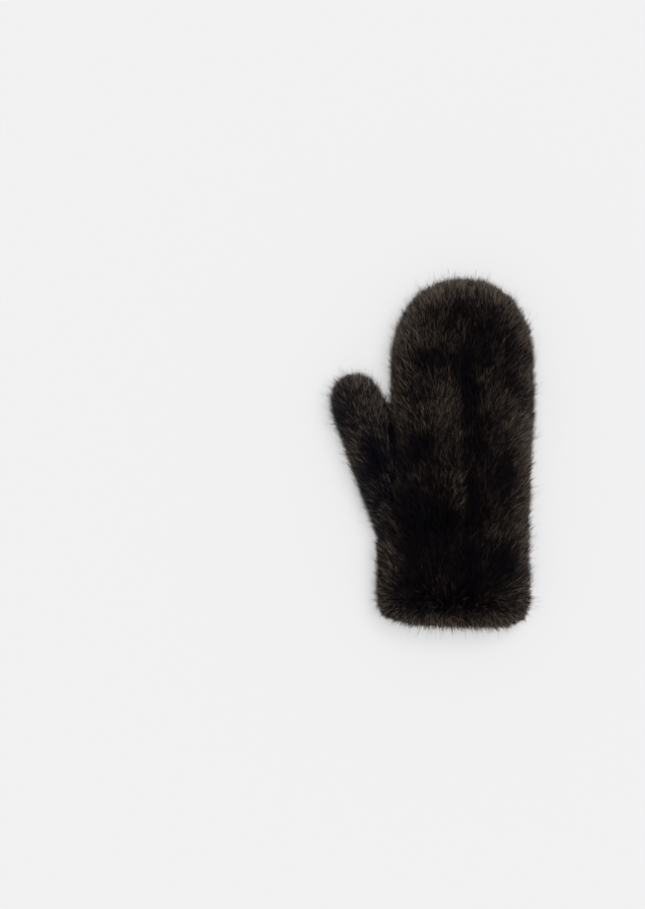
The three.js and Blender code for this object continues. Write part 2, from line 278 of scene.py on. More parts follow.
# The layers of the pile: where along a strand its points are, how rough and glossy its hair is, and its
# habits, of which the first counts tufts on a square millimetre
Layer = namedtuple("Layer", "rows roughness gloss habits")
LAYERS = {
    "underfur": Layer([0.0, 0.5], 0.7, 0.05, [0.14, 0.35, 0.7, 0.22, 0.15, 0.6, 0.2, 0.75]),
    "guard_hair": Layer([0.0, 0.5], 0.36, 0.2, [1.8, 0.08, 0.52, 0.24, 0.12, 1.8, 0.3, 0.9]),
    "loose_hair": Layer([0.0, 0.35, 0.7], 0.36, 0.24, [0.1, 0.1, 0.5, 0.3, 0.1, 1.2, 0.2, 1.2]),
}
LOWEST = 0.2 * MM  # over the surface that the mitten lies on
FLOOR_BLEND = 1.2 * MM  # of the height over which strands bend to keep above it
FIRST_SEED = 100
KERATIN_IOR = 1.55

# The map that a strand's colour reads: its tone across and the place along it upwards
UV_RANGE = (0.01, 0.99)
UV_WIDTH = 0.004  # of a strand

# The stage, in metres
FLOOR_HALF = 4.0
LAMP_SPREAD = math.radians(44)
LAMP_TURN = [math.radians(a) for a in (-12, 13, 0)]  # towards the outer side and the fingers
SENSOR_WIDTH = 36
VIEW_RISE = 0.4 * MM  # of the view's middle, towards the fingers


def smooth(value, low, high):
    """A smooth step from 0 at low to 1 at high."""
    t = np.clip((value - low) / (high - low), 0, 1)
    return t * t * (3 - 2 * t)


def section_at(rows, along):
    """Centre, width and height at places along a tube, by cubic curves through its table's rows."""
    table = np.array(rows, float)
    knots = table[:, 0]
    i = np.clip(np.searchsorted(knots, along, side="right") - 1, 0, len(rows) - 2)
    t = np.clip((along - knots[i]) / (knots[i + 1] - knots[i]), 0, 1)[:, None]
    a, b = table[i], table[i + 1]
    before = table[np.maximum(i - 1, 0)]
    after = table[np.minimum(i + 2, len(rows) - 1)]
    rise = b - a
    into = (b - before) / (b - before)[:, :1] * rise[:, :1]
    out_of = (after - a) / (after - a)[:, :1] * rise[:, :1]
    curve = a + into * t + (3 * rise - 2 * into - out_of) * t**2 + (into + out_of - 2 * rise) * t**3
    return curve[:, 1:]


def ring(centre, half_width, rise, drop, floor, count):
    """Points evenly spaced round one cross-section, from the +X side over the top."""
    angle = np.linspace(0, 2 * math.pi, ROUND_STEPS + 1)
    bend = [np.sign(v) * np.abs(v) ** (2 / FULLNESS) for v in (np.cos(angle), np.sin(angle))]
    x = centre + half_width * bend[0]
    z = np.maximum(SIDE_SEAM + np.where(bend[1] > 0, rise, drop) * bend[1], floor)
    lengths = np.concatenate([[0], np.cumsum(np.hypot(np.diff(x), np.diff(z)))])
    wanted = lengths[-1] * np.arange(count) / count
    return np.interp(wanted, lengths, x), np.interp(wanted, lengths, z)


def tube(sections, end, tip, start, spacing, columns, depth, below, floor, hem_round=0, bow=0, tilt=0):
    """Rings of a tube that lies depth under the pile's surface, from start to a rounded tip, and its
    pole. below is how far under the side seam it would reach, if the floor didn't stop it."""
    tip_start = end - tip
    tip_rows = math.ceil(1.1 * (tip - depth) / spacing)
    body_rows = round((tip_start - start) / spacing)
    share = np.sin(0.5 * math.pi * np.arange(tip_rows + 1) / tip_rows)
    share = np.concatenate([np.zeros(body_rows), share])
    along = np.linspace(start, tip_start, body_rows, endpoint=False)
    along = np.concatenate([along, tip_start + (tip - depth) * share[body_rows:]])
    narrow = (1 - share**TIP_ROUND_PLAN) ** (1 / TIP_ROUND_PLAN)
    thin = (1 - share**TIP_ROUND_SIDE) ** (1 / TIP_ROUND_PLAN)
    rings = []
    for y, less, low, (centre, width, height) in zip(along, narrow, thin, section_at(sections, along)):
        from_hem = min(y - start, hem_round)
        edge = hem_round - math.sqrt(hem_round**2 - (hem_round - from_hem) ** 2)
        x, z = ring(
            centre,
            (0.5 * width - depth - edge) * less,
            (height - SIDE_SEAM - depth - edge) * low,
            (below - 0.7 * edge) * low,
            floor,
            columns,
        )
        aside = (x - centre) / (0.5 * width)
        fade = 1 - smooth(y - start, 0, HEM_BOW_REACH)
        back = (bow * np.abs(aside) ** HEM_BOW_POWER - tilt * aside) * fade
        rings.append(np.column_stack([x, y + back, z]))
    return rings[:-1], rings[-1].mean(axis=0)


def mesh_of(name, points, faces):
    """A mesh of points in millimetres."""
    mesh = bpy.data.meshes.new(name)
    mesh.from_pydata((np.array(points) * MM).tolist(), [], faces)
    return mesh


def loft(name, rings, pole, place):
    """A closed tube through rings, with a flat start and a pole at its tip. place puts it in place."""
    columns = len(rings[0])
    points = np.vstack([*rings, pole, rings[0].mean(axis=0)])
    around = [(c, (c + 1) % columns) for c in range(columns)]
    faces = []
    for row in range(0, (len(rings) - 1) * columns, columns):
        for c, d in around:
            faces.append((row + c, row + columns + c, row + columns + d))
            faces.append((row + c, row + columns + d, row + d))
    last = (len(rings) - 1) * columns
    pole_at = len(rings) * columns
    faces += [(last + c, pole_at, last + d) for c, d in around]
    faces += [(pole_at + 1, c, d) for c, d in around]
    return mesh_of(name, place(points), faces)


def prism(name, outline, low, high, turned=False):
    """A closed block with a flat outline, between two heights, or between two places on X if turned."""
    count = len(outline)
    points = np.array([(*p, height) for height in (low, high) for p in outline], float)
    walls = [(i, (i + 1) % count, count + (i + 1) % count, count + i) for i in range(count)]
    ends = [tuple(reversed(range(count))), tuple(range(count, 2 * count))]
    if turned:
        points = points[:, [2, 0, 1]]
    return mesh_of(name, points, walls + ends)


def on_hand(points):
    """From the hand's own place, where Y starts at the hem, to the frame."""
    return points + [MIDDLE, HEM, 0]


def on_thumb(points):
    """From the thumb's own place, where Y runs along it from the wrist, to the frame."""
    across, along, up = points[:, :1], points[:, 1:2], points[:, 2:]
    return THUMB_FOOT + across * THUMB_ACROSS + along * THUMB_WAY + up * [0, 0, 1]


def new_object(name, data):
    """A new object in the scene."""
    made = bpy.data.objects.new(name, data)
    bpy.context.scene.collection.objects.link(made)
    return made


def evaluated(holder):
    """An object's mesh with its modifiers applied."""
    return bpy.data.meshes.new_from_object(holder.evaluated_get(bpy.context.evaluated_depsgraph_get()))


def combined(first, second, operation):
    """Two closed meshes joined, cut or intersected."""
    holders = [new_object(mesh.name, mesh) for mesh in (first, second)]
    modifier = holders[0].modifiers.new("combine", "BOOLEAN")
    modifier.operation = operation
    modifier.solver = "MANIFOLD"
    modifier.object = holders[1]
    made = evaluated(holders[0])
    for holder in holders:
        bpy.data.objects.remove(holder)
    if not made.polygons:
        raise RuntimeError(f"{operation} of {first.name} and {second.name} left nothing")
    return made


def skins(pelt):
    """The surface that the pile grows from, as the hand's closed tube and the thumb's."""
    pressed = pelt.pressed / MM
    under = {"depth": pelt.depth / MM, "below": SIDE_SEAM + SAG - pressed, "floor": pressed}
    spacing = pelt.spacing / MM
    hand = tube(
        HAND_SECTIONS,
        TOTAL,
        TIP_LENGTH,
        start=pelt.hem_inset / MM,
        spacing=spacing,
        columns=round(HAND_ROUND / spacing),
        hem_round=HEM_ROUND - pelt.depth / MM,
        bow=HEM_BOW,
        tilt=HEM_TILT,
        **under,
    )
    thumb = tube(
        THUMB_SECTIONS,
        THUMB_LENGTH,
        THUMB_TIP_LENGTH,
        start=0,
        spacing=spacing,
        columns=round(THUMB_ROUND / spacing),
        **under,
    )
    return loft("hand_skin", *hand, on_hand), loft("thumb_skin", *thumb, on_thumb)


def web():
    """The leather that joins thumb and hand in the crease between them."""
    foot, tip = WRIST + WAIST - WEB_FOOT, CROTCH[1]
    top = SIDE_SEAM + 0.5 * DOOR_HEIGHT + WEB_COVER
    outline = [
        (foot, WEB_BASE),
        (tip, WEB_BASE),
        (tip, 0.75 * SIDE_SEAM),
        (tip - WEB_DEPTH, top),
        (foot, top),
    ]
    low, high = DOOR_MIDDLE - 0.58 * DOOR_WIDTH, DOOR_MIDDLE + 0.15 * DOOR_WIDTH
    return prism("web", outline, low, high, turned=True)


def hollow(pelt):
    """The space for the hand and the thumb, with the way between them."""
    spacing = 1.5 * pelt.spacing / MM
    inside = {"depth": WALL, "below": SIDE_SEAM - WALL, "floor": WALL, "spacing": spacing}
    hand = tube(HAND_SECTIONS, TOTAL, TIP_LENGTH, start=-2 * HEM_ROUND, columns=60, **inside)
    thumb = tube(THUMB_SECTIONS, THUMB_LENGTH, THUMB_TIP_LENGTH, start=DOOR_BASE, columns=28, **inside)
    low, high = WRIST + DOOR_BASE, CROTCH[1] - WEB_DEPTH
    oval = []
    for a in np.linspace(0, 2 * math.pi, 40, endpoint=False):
        along = 0.5 * (low + high) + 0.5 * (high - low) * math.cos(a)
        oval.append((along, SIDE_SEAM + 0.5 * DOOR_HEIGHT * math.sin(a)))
    low, high = DOOR_MIDDLE - 0.5 * DOOR_WIDTH, DOOR_MIDDLE + 0.5 * DOOR_WIDTH
    door = prism("door", oval, low, high, turned=True)
    space = combined(loft("hand_space", *hand, on_hand), loft("thumb_space", *thumb, on_thumb), "UNION")
    return combined(space, door, "UNION")


def regions():
    """The block of space that each pelt is cut to. The pelts are sewn edge to edge, without a gap."""
    top = CROTCH[1] + FAR
    beside = list(reversed(THUMB_SEAM))
    back = (SIDE_SEAM, FAR)
    plans = {
        "cuff": [(-FAR, -FAR), (FAR, -FAR), (FAR, WRIST), (-FAR, WRIST)],
        "thumb": [*THUMB_SEAM, (-FAR, top), (-FAR, WRIST)],
        "palm": [*beside, (FAR, WRIST), (FAR, top)],
        "back_thumb_side": [*beside, (CENTRE_SEAM, WRIST), (CENTRE_SEAM, top)],
        "back_outer_side": [(CENTRE_SEAM, WRIST), (FAR, WRIST), (FAR, top), (CENTRE_SEAM, top)],
    }
    levels = {"palm": (-FAR, SIDE_SEAM), "back_thumb_side": back, "back_outer_side": back}
    return {
        node: prism(f"{node}_region", plan, *levels.get(node, (-FAR, FAR)))
        for node, plan in plans.items()
    }


def swirl(place, *kinds):
    """Noise at points in millimetres, as the sum of its kinds."""
    total = 0
    for amount, size, seed in kinds:
        found = [noise.noise(Vector(p) / size + Vector((seed, 0, 0))) for p in place]
        total = total + amount * np.array(found)
    return total


def near(distance, reach):
    """1 at no distance, falling to almost 0 at twice the reach."""
    return np.exp(-((distance / reach) ** 2))


def distance_to(line, x, y):
    """How far points are from a line of straight stretches, seen from above."""
    nearest = np.full(len(x), float(FAR))
    for (x0, y0), (x1, y1) in zip(line, line[1:]):
        reach = (x1 - x0) ** 2 + (y1 - y0) ** 2
        t = np.clip(((x - x0) * (x1 - x0) + (y - y0) * (y1 - y0)) / reach, 0, 1)
        nearest = np.minimum(nearest, np.hypot(x - x0 - t * (x1 - x0), y - y0 - t * (y1 - y0)))
    return nearest


def painted_rim_light_at(y, aside, across, up_thumb, is_thumb, top):
    """How near the outline points are, seen from above: 1 at the sides, the tips and the hem. This is
    where the strands get the painted rim light, less of it on what faces sideways.
    """
    ways_out = [
        (aside, (y - HEM - TOTAL + TIP_LENGTH) / TIP_LENGTH),
        (across, (up_thumb - THUMB_LENGTH + THUMB_TIP_LENGTH) / THUMB_TIP_LENGTH),
    ]
    hand_reach, thumb_reach = [
        (np.abs(a) ** TIP_ROUND_PLAN + np.clip(b, 0, 1) ** TIP_ROUND_PLAN) ** (1 / TIP_ROUND_PLAN)
        for a, b in ways_out
    ]
    rim = smooth(np.where(is_thumb, thumb_reach, hand_reach), RIM_START, 1.0)
    inner = (is_thumb & (across > 0)) | (~is_thumb & (aside < 0) & (y > WRIST))
    rim *= np.where(inner, smooth(y, CROTCH[1] - RIM_FADE, CROTCH[1] + RIM_FADE), 1)
    at_hem = HEM_RIM * smooth(HEM + HEM_RIM_REACH - y, 0, HEM_RIM_FADE)
    return np.maximum(rim, at_hem) * (RIM_SIDE + (1 - RIM_SIDE) * top)


def grain(node, place, out, is_thumb, pile):
    """How the pile lies at points of a pelt: its run, rise and outward way, its length's share, how
    unruly it is, its tone and its cover."""
    x, y = place[:, 0], place[:, 1]
    centre, width, _ = section_at(HAND_SECTIONS, y - HEM).T
    aside = np.clip((x - MIDDLE - centre) / (0.5 * width), -1, 1)
    across = np.clip((place - THUMB_FOOT) @ THUMB_ACROSS / (0.5 * THUMB_WIDTH), -1, 1)
    up_thumb = (place - THUMB_FOOT) @ THUMB_WAY
    down = np.clip((WRIST - y) / CUFF_LENGTH, 0, 1)
    top = smooth(out[:, 2], *TOP_FACING)
    sideways = 1 - np.clip(out[:, 2], 0, 1)
    rim = painted_rim_light_at(y, aside, across, up_thumb, is_thumb, top)

    # The fan from above, in degrees from the fingers' direction, towards the outer side
    fan = np.sign(aside) * np.abs(aside) ** FAN_POWER * (pile.hand_fan + pile.cuff_fan * down)
    fan *= np.where(aside < 0, 1 - HAND_INNER_LESS * smooth(y, WRIST, CROTCH[1] + HAND_INNER_END), 1)
    lift = np.full(len(x), pile.lift)
    tone = pile.tone + THUMB_TONE * is_thumb + CUFF_TONE * smooth(down, 0, CUFF_TONE_REACH)
    # Painted rim light: the strands round the outline are painted lighter
    tone += pile.painted_rim_light * rim

    # On both sides of the centre seam the pile leans towards it, and its tone is painted lighter on the
    # thumb's side and darker on the outer side, as painted sheen and painted shade where the nap catches
    # the light or turns from it
    from_seam = x - CENTRE_SEAM + SEAM_LEAN
    across_seam = smooth(from_seam, -SEAM_BLEND, SEAM_BLEND)
    seam = top * ~is_thumb * (1 - SEAM_LOSS * smooth(y, *SEAM_END))
    if node != "cuff":
        outer_fan = -pile.thumb_fan * np.abs(across) ** THUMB_FAN_POWER
        thumb_fan = np.where(across < 0, outer_fan, THUMB_INNER_FAN * across)
        fan = np.where(is_thumb, thumb_fan - math.degrees(THUMB_LEAN), fan)
        fan += (SEAM_FAN + SEAM_FAN_STEP * across_seam) * near(from_seam, SEAM_FAN_REACH) * seam
    # Ruffles: tone painted lighter or darker, as painted sheen and painted shade, and strands turned and
    # stood up
    for x0, y0, wide, long, painted_light_or_shade, lean, stand in RUFFLES:
        here = near(x - x0, wide) * near(y - y0, long) * top
        tone += painted_light_or_shade * here
        fan += lean * here
        lift += stand * here
    tone += (SEAM_PAINTED_LIGHT + SEAM_PAINTED_LIGHT_STEP * across_seam) * near(from_seam, SEAM_PAINTED_LIGHT_REACH) * seam
    fan += swirl(place, *FAN_SWIRLS)
    tone += swirl(place, *TONE_SWIRLS)

    # The crease between thumb and hand is deep, its strands are painted darker there as painted shade,
    # and the pile on both sides leans away from it
    from_crease = distance_to(THUMB_SEAM, x, y)
    over_crotch = y - CROTCH[1]
    depth = smooth(over_crotch, *CREASE_START) * top
    reach = CREASE_REACH + CREASE_OPENING * smooth(over_crotch, CREASE_OPENING_START, 0)
    crease = near(from_crease, reach) * depth
    tone -= pile.crease_painted_shade * crease
    beside = near(from_crease, CREASE_FAN_REACH) * depth * (1 - smooth(over_crotch, *CREASE_END))
    fan += np.where(is_thumb, -CREASE_FAN_THUMB, CREASE_FAN_HAND) * beside

    # Above the hem the pile turns down round it, and stands up where it turns
    turned = smooth(down + swirl(place, HEM_LINE_SWIRL), *HEM_TURN)
    hem_fan = np.sign(aside) * (180 - pile.hem_fan * np.abs(aside)) + swirl(place, HEM_FAN_SWIRL)
    ways = [np.column_stack([np.sin(a), np.cos(a)]) for a in np.radians([fan, hem_fan])]
    flow = ways[0] + turned[:, None] * (ways[1] - ways[0])
    strength = np.maximum(np.linalg.norm(flow, axis=1), LEAST_FLOW)
    flow /= strength[:, None]
    parting = np.clip(1 - strength, 0, 1) * top

    # Down the sides the pile droops, and underneath the mitten's weight presses it flat
    droop = DROOP * sideways * (out[:, 2] > DROOP_LOWEST)
    way = np.column_stack([flow, droop])
    facing = np.einsum("ij,ij->i", way, out)
    run = way - out * facing[:, None]
    run /= np.maximum(np.linalg.norm(run, axis=1), LEAST_FLOW)[:, None]
    lift += SIDE_LIFT * sideways + FACING_LIFT * np.clip(facing, 0, 1) ** 2 + swirl(place, LIFT_SWIRL)
    lift += PARTING_LIFT * parting
    under = smooth(-out[:, 2], *UNDER_FACING)
    lift = np.radians(lift * (1 - under) + UNDER_LIFT * under)
    corner = smooth(np.abs(aside), *CORNER_ASIDE) * smooth(down, *CORNER_DOWN)
    shorter = (1 - CREASE_SHORTER * crease) * (1 - CORNER_SHORTER * corner)
    return {
        "run": run * np.cos(lift)[:, None],
        "rise": out * np.sin(lift)[:, None],
        "out": out,
        "share": (1 + swirl(place, LENGTH_SWIRL)) * shorter,
        "unruly": 1 + PARTING_UNRULY * parting,
        "tone": np.clip(tone, 0, 1),
        "cover": 1 - (1 - pile.under_cover) * under,
    }


def tree_of(mesh):
    """A search tree of a mesh's vertices."""
    found = KDTree(len(mesh.vertices))
    for i, vertex in enumerate(mesh.vertices):
        found.insert(vertex.co, i)
    found.balance()
    return found


def faces_of(mesh):
    """A search tree of a mesh's faces."""
    return BVHTree.FromPolygons([v.co for v in mesh.vertices], [p.vertices for p in mesh.polygons])


def store(mesh, name, values, kind):
    """Keeps values at a mesh's points under a name."""
    field = "vector" if kind == VECTOR else "value"
    kept = mesh.attributes.new(name, kind, "POINT")
    kept.data.foreach_set(field, np.asarray(values, np.float32).ravel())


def dress_pelt(node, mesh, skin_meshes, space, pile):
    """Marks a pelt's outside, gives its faces their materials and stores how its pile lies. The skins
    are the hand's, the thumb's and the web's, whose pile stands straight up or down."""
    trees = []
    for skin in skin_meshes:
        normals = np.array([v.normal for v in skin.vertices], float)
        trees.append((faces_of(skin), tree_of(skin), normals))
    on_web = trees[-1][2]
    on_web[:] = np.sign(on_web) * (0, 0, 1)
    lining = faces_of(space)
    close = 0.1 * MM
    outside = []
    for face in mesh.polygons:
        outside.append(min(faces.find_nearest(face.center)[3] for faces, _, _ in trees) < close)
        face.material_index = int(lining.find_nearest(face.center)[3] < close)
        face.use_smooth = True
    mesh.attributes.new("outside", "BOOLEAN", "FACE").data.foreach_set("value", outside)
    is_thumb, out = [], []
    for vertex in mesh.vertices:
        reach = [faces.find_nearest(vertex.co)[3] for faces, _, _ in trees]
        which = reach.index(min(reach))
        _, points, normals = trees[which]
        is_thumb.append(which == 1)
        out.append(normals[points.find(vertex.co)[1]])
    place = np.array([v.co for v in mesh.vertices]) / MM
    lies = grain(node, place, np.array(out, float), np.array(is_thumb), pile)
    for name, values in lies.items():
        store(mesh, name, values, "FLOAT" if values.ndim == 1 else VECTOR)


def linear(colour):
    """An sRGB hex colour as linear RGBA."""
    channels = [int(colour[i : i + 2], 16) / 255 for i in (1, 3, 5)]
    return [c / 12.92 if c <= 0.04045 else ((c + 0.055) / 1.055) ** 2.4 for c in channels] + [1]


def add(tree, kind, inputs=None, **settings):
    """Adds a node with its settings. inputs gives its sockets a value or a link, by name or number."""
    node = tree.nodes.new(kind)
    for name, value in settings.items():
        setattr(node, name, value)
    for key, value in (inputs or {}).items():
        if isinstance(value, bpy.types.NodeSocket):
            tree.links.new(value, node.inputs[key])
        else:
            node.inputs[key].default_value = value
    return node


def new_material(name):
    """An empty material and its node tree."""
    material = bpy.data.materials.new(name)
    material.use_nodes = True
    material.node_tree.nodes.clear()
    return material, material.node_tree


def principled(tree, inputs):
    """Gives a material's tree its shader and its output."""
    bsdf = add(tree, "ShaderNodeBsdfPrincipled", inputs)
    add(tree, "ShaderNodeOutputMaterial", {"Surface": bsdf.outputs[0]})


def ramp(tree, factor, stops):
    """A colour ramp with stops of place and hex colour."""
    node = add(tree, "ShaderNodeValToRGB", {"Fac": factor})
    elements = node.color_ramp.elements
    while len(elements) < len(stops):
        elements.new(1)
    for element, (place, colour) in zip(elements, stops):
        element.position = place
        element.color = linear(colour)
    return node.outputs["Color"]


def clouds(tree, size, detail):
    """Noise on an object, with features of a size in millimetres."""
    place = add(tree, "ShaderNodeTexCoord").outputs["Object"]
    inputs = {"Vector": place, "Scale": 1 / (size * MM), "Detail": detail}
    return add(tree, "ShaderNodeTexNoise", inputs).outputs["Fac"]


def bump(tree, height, millimetres, strength):
    """The normals of a surface that a height between 0 and 1 raises."""
    inputs = {"Height": height, "Distance": millimetres * MM, "Strength": strength}
    return add(tree, "ShaderNodeBump", inputs).outputs[0]


def mink_hair(name, colours, roughness, gloss):
    """Mink hair: glossy keratin, bluish black in the deepest strands and brown in the lightest. Each
    strand has its own tone, and is darker towards its root, where the pile shades it."""
    material, tree = new_material(name)
    place = add(tree, "ShaderNodeUVMap", uv_map="OFBake").outputs["UV"]
    parts = add(tree, "ShaderNodeSeparateXYZ", {0: place})
    tone = ramp(tree, parts.outputs["X"], list(zip((0.0, 0.3, 0.6, 1.0), colours)))
    shade = ramp(tree, parts.outputs["Y"], [(0.0, "#303030"), (0.45, "#b0b0b0"), (0.85, "#ffffff")])
    inputs = {"Factor": 1.0, 6: tone, 7: shade}
    mixed = add(tree, "ShaderNodeMix", inputs, data_type="RGBA", blend_type="MULTIPLY")
    inputs = {
        "Base Color": mixed.outputs[2],
        "Roughness": roughness,
        "IOR": KERATIN_IOR,
        "Specular IOR Level": gloss,
    }
    principled(tree, inputs)
    return material


def underwool(colours):
    """The dense wool at the foot of a mink's pile: matt and almost black, with darker tufts of 2 mm."""
    material, tree = new_material("mink_underwool")
    tufts = clouds(tree, 2, 3.0)
    inputs = {
        "Base Color": ramp(tree, tufts, [(0.35, colours.deepest), (0.7, colours.deep)]),
        "Roughness": 0.95,
        "IOR": KERATIN_IOR,
        "Specular IOR Level": 0.1,
        "Normal": bump(tree, tufts, 0.6, 0.8),
    }
    principled(tree, inputs)
    return material


def suede(colours):
    """The flesh side of the pelt, brushed to suede: soft brown, a nap of 0.6 mm in clouds of 12 mm."""
    material, tree = new_material("brushed_suede")
    nap = clouds(tree, 0.6, 4.0)
    inputs = {0: clouds(tree, 12, 2.0), 1: 0.7, 2: nap}
    height = add(tree, "ShaderNodeMath", inputs, operation="MULTIPLY_ADD").outputs[0]
    inputs = {
        "Base Color": ramp(tree, height, [(0.45, colours.suede_dark), (1.15, colours.suede)]),
        "Roughness": 0.9,
        "IOR": 1.5,
        "Specular IOR Level": 0.2,
        "Sheen Weight": 0.3,
        "Sheen Roughness": 0.5,
        "Normal": bump(tree, nap, 0.25, 0.7),
    }
    principled(tree, inputs)
    return material


def strand_blank(rows):
    """One strand before it is placed: a ribbon that ends in a point. Its points keep their shares of
    what the pile's grain gives: along the run, up the rise, into the tuft and across the strand."""
    along = np.array([t for t in rows for _ in range(2)] + [1.0])
    side = np.array([s for _ in rows for s in (-0.5, 0.5)] + [0.0])
    last = 2 * (len(rows) - 1)
    faces = [(i, i + 1, i + 3, i + 2) for i in range(0, last, 2)] + [(last, last + 1, last + 2)]
    mesh = bpy.data.meshes.new("strand_blank")
    mesh.from_pydata([(0, 0, 0)] * len(along), [], faces)
    mesh.shade_smooth()
    store(mesh, "along", along, "FLOAT")
    store(mesh, "run_share", along**1.3, "FLOAT")
    store(mesh, "rise_share", 1 - (1 - along) ** 2, "FLOAT")
    store(mesh, "tuft_share", along**2, "FLOAT")
    store(mesh, "across", side * (1 - 0.4 * along), "FLOAT")
    return bpy.data.objects.new("strand_blank", mesh)


STRAND_INPUTS = {
    "Pelt": "Geometry",
    "Strand": "Object",
    "Material": "Material",
    "Seed": "Int",
    **dict.fromkeys(["Density", "Length", "Width", "Lowest", *HABITS], "Float"),
}


def strand_tree():
    """Geometry nodes that grow strands on a pelt along the grain that its points keep."""
    tree = bpy.data.node_groups.new("strands_on_a_pelt", "GeometryNodeTree")
    for name, kind in STRAND_INPUTS.items():
        tree.interface.new_socket(name, in_out="INPUT", socket_type=f"NodeSocket{kind}")
    tree.interface.new_socket("Strands", in_out="OUTPUT", socket_type="NodeSocketGeometry")
    given = add(tree, "NodeGroupInput").outputs

    def kept(name, kind="FLOAT"):
        found = add(tree, "GeometryNodeInputNamedAttribute", {"Name": name}, data_type=kind)
        return found.outputs["Attribute"]

    def keep(geometry, name, value, kind=VECTOR, domain="POINT"):
        inputs = {"Geometry": geometry, "Name": name, "Value": value}
        settings = {"data_type": kind, "domain": domain}
        return add(tree, "GeometryNodeStoreNamedAttribute", inputs, **settings).outputs[0]

    def calc(operation, *values):
        return add(tree, "ShaderNodeMath", dict(enumerate(values)), operation=operation).outputs[0]

    def calc_vector(operation, *values):
        inputs = dict(enumerate(values))
        return add(tree, "ShaderNodeVectorMath", inputs, operation=operation).outputs[0]

    def times(vector, factor):
        inputs = {0: vector, "Scale": factor}
        return add(tree, "ShaderNodeVectorMath", inputs, operation="SCALE").outputs[0]

    def total(first, *rest):
        for vector in rest:
            first = calc_vector("ADD", first, vector)
        return first

    def random_vector(reach, seed, **shared):
        inputs = {0: [-reach] * 3, 1: [reach] * 3, "Seed": seed, **shared}
        return add(tree, "FunctionNodeRandomValue", inputs, data_type=VECTOR).outputs[0]

    def random_share(seed, **shared):
        """From 0 to 1, and more often low."""
        inputs = {2: 0.0, 3: 1.0, "Seed": seed, **shared}
        drawn = add(tree, "FunctionNodeRandomValue", inputs, data_type="FLOAT").outputs[1]
        return calc("POWER", drawn, TONE_SKEW)

    def share_map(value, low, high=1.0):
        """From a value between 0 and 1 to one between two others."""
        inputs = {"Value": value, "To Min": low, "To Max": high}
        return add(tree, "ShaderNodeMapRange", inputs).outputs[0]

    def scattered(density):
        inputs = {
            "Mesh": given["Pelt"],
            "Selection": kept("outside", "BOOLEAN"),
            "Seed": given["Seed"],
            "Density": density,
        }
        return add(tree, "GeometryNodeDistributePointsOnFaces", inputs).outputs["Points"]

    # Roots of the strands, and the points that they gather round in tufts
    points = scattered(calc("MULTIPLY", kept("cover"), given["Density"]))
    tufts = scattered(given["Tuft Density"])
    place = add(tree, "GeometryNodeInputPosition").outputs[0]
    nearest = add(tree, "GeometryNodeSampleNearest", {"Geometry": tufts}, domain="POINT").outputs[0]
    inputs = {"Geometry": tufts, "Value": place, "Index": nearest}
    settings = {"data_type": VECTOR, "domain": "POINT"}
    tuft = add(tree, "GeometryNodeSampleIndex", inputs, **settings).outputs[0]
    to_tuft = calc_vector("SUBTRACT", tuft, place)

    # Chance, each kind with its own number, and one draw for all strands of a tuft where it has an ID
    stray = times(random_vector(1, 11), given["Stray"])
    tuft_stray = times(random_vector(1, 16, ID=nearest), given["Tuft Stray"])
    roll = random_vector(0.9, 12)
    shorter = share_map(random_share(13), given["Shortest Share"])
    off_tone = calc("SUBTRACT", random_share(14), TONE_MEAN)
    tuft_tone = calc("SUBTRACT", random_share(15, ID=nearest), TONE_MEAN)

    # How each strand runs, how far, across which way it is flat, and its tone
    reach = calc("MULTIPLY", calc("MULTIPLY", shorter, given["Length"]), kept("share"))
    run = total(kept("run", VECTOR), times(total(stray, tuft_stray), kept("unruly")))
    facing = total(kept("out", VECTOR), roll)
    side = calc_vector("NORMALIZE", calc_vector("CROSS_PRODUCT", run, facing))
    spread = calc("MULTIPLY_ADD", off_tone, given["Tone Spread"], given["Tone Share"])
    spread = calc("MULTIPLY_ADD", tuft_tone, given["Tuft Tone Spread"], spread)
    tone = share_map(calc("MULTIPLY", kept("tone"), spread), *UV_RANGE)

    # What each root hands to its strand
    handed = {
        "root": place,
        "strand_run": times(run, reach),
        "strand_rise": times(kept("rise", VECTOR), reach),
        "strand_tuft": times(to_tuft, given["Tuft Pull"]),
        "strand_side": times(side, given["Width"]),
    }
    for name, value in handed.items():
        points = keep(points, name, value)
    points = keep(points, "strand_tone", tone, "FLOAT")
    blank = add(tree, "GeometryNodeObjectInfo", {"Object": given["Strand"]}).outputs["Geometry"]
    placed = add(tree, "GeometryNodeInstanceOnPoints", {"Points": points, "Instance": blank}).outputs[0]
    real = add(tree, "GeometryNodeRealizeInstances", {0: placed}).outputs[0]

    # Each point of a strand goes to its place, and none under the surface that the mitten lies on
    at = total(
        kept("root", VECTOR),
        times(kept("strand_run", VECTOR), kept("run_share")),
        times(kept("strand_rise", VECTOR), kept("rise_share")),
        times(kept("strand_tuft", VECTOR), kept("tuft_share")),
        times(kept("strand_side", VECTOR), kept("across")),
    )
    parts = add(tree, "ShaderNodeSeparateXYZ", {0: at}).outputs
    height = calc("SMOOTH_MAX", parts["Z"], given["Lowest"], FLOOR_BLEND)
    at = add(tree, "ShaderNodeCombineXYZ", {"X": parts["X"], "Y": parts["Y"], "Z": height}).outputs[0]
    shaped = add(tree, "GeometryNodeSetPosition", {"Geometry": real, "Position": at}).outputs[0]

    # The strand's tone and the place along it, as the map that its colour reads
    tone_place = calc("MULTIPLY_ADD", kept("across"), UV_WIDTH, kept("strand_tone"))
    along_place = share_map(kept("along"), *UV_RANGE)
    uv = add(tree, "ShaderNodeCombineXYZ", {"X": tone_place, "Y": along_place}).outputs[0]
    mapped = keep(shaped, "OFBake", uv, "FLOAT2", "CORNER")
    inputs = {"Geometry": mapped, "Material": given["Material"]}
    finished = add(tree, "GeometryNodeSetMaterial", inputs).outputs[0]
    add(tree, "NodeGroupOutput", {0: finished})
    return tree


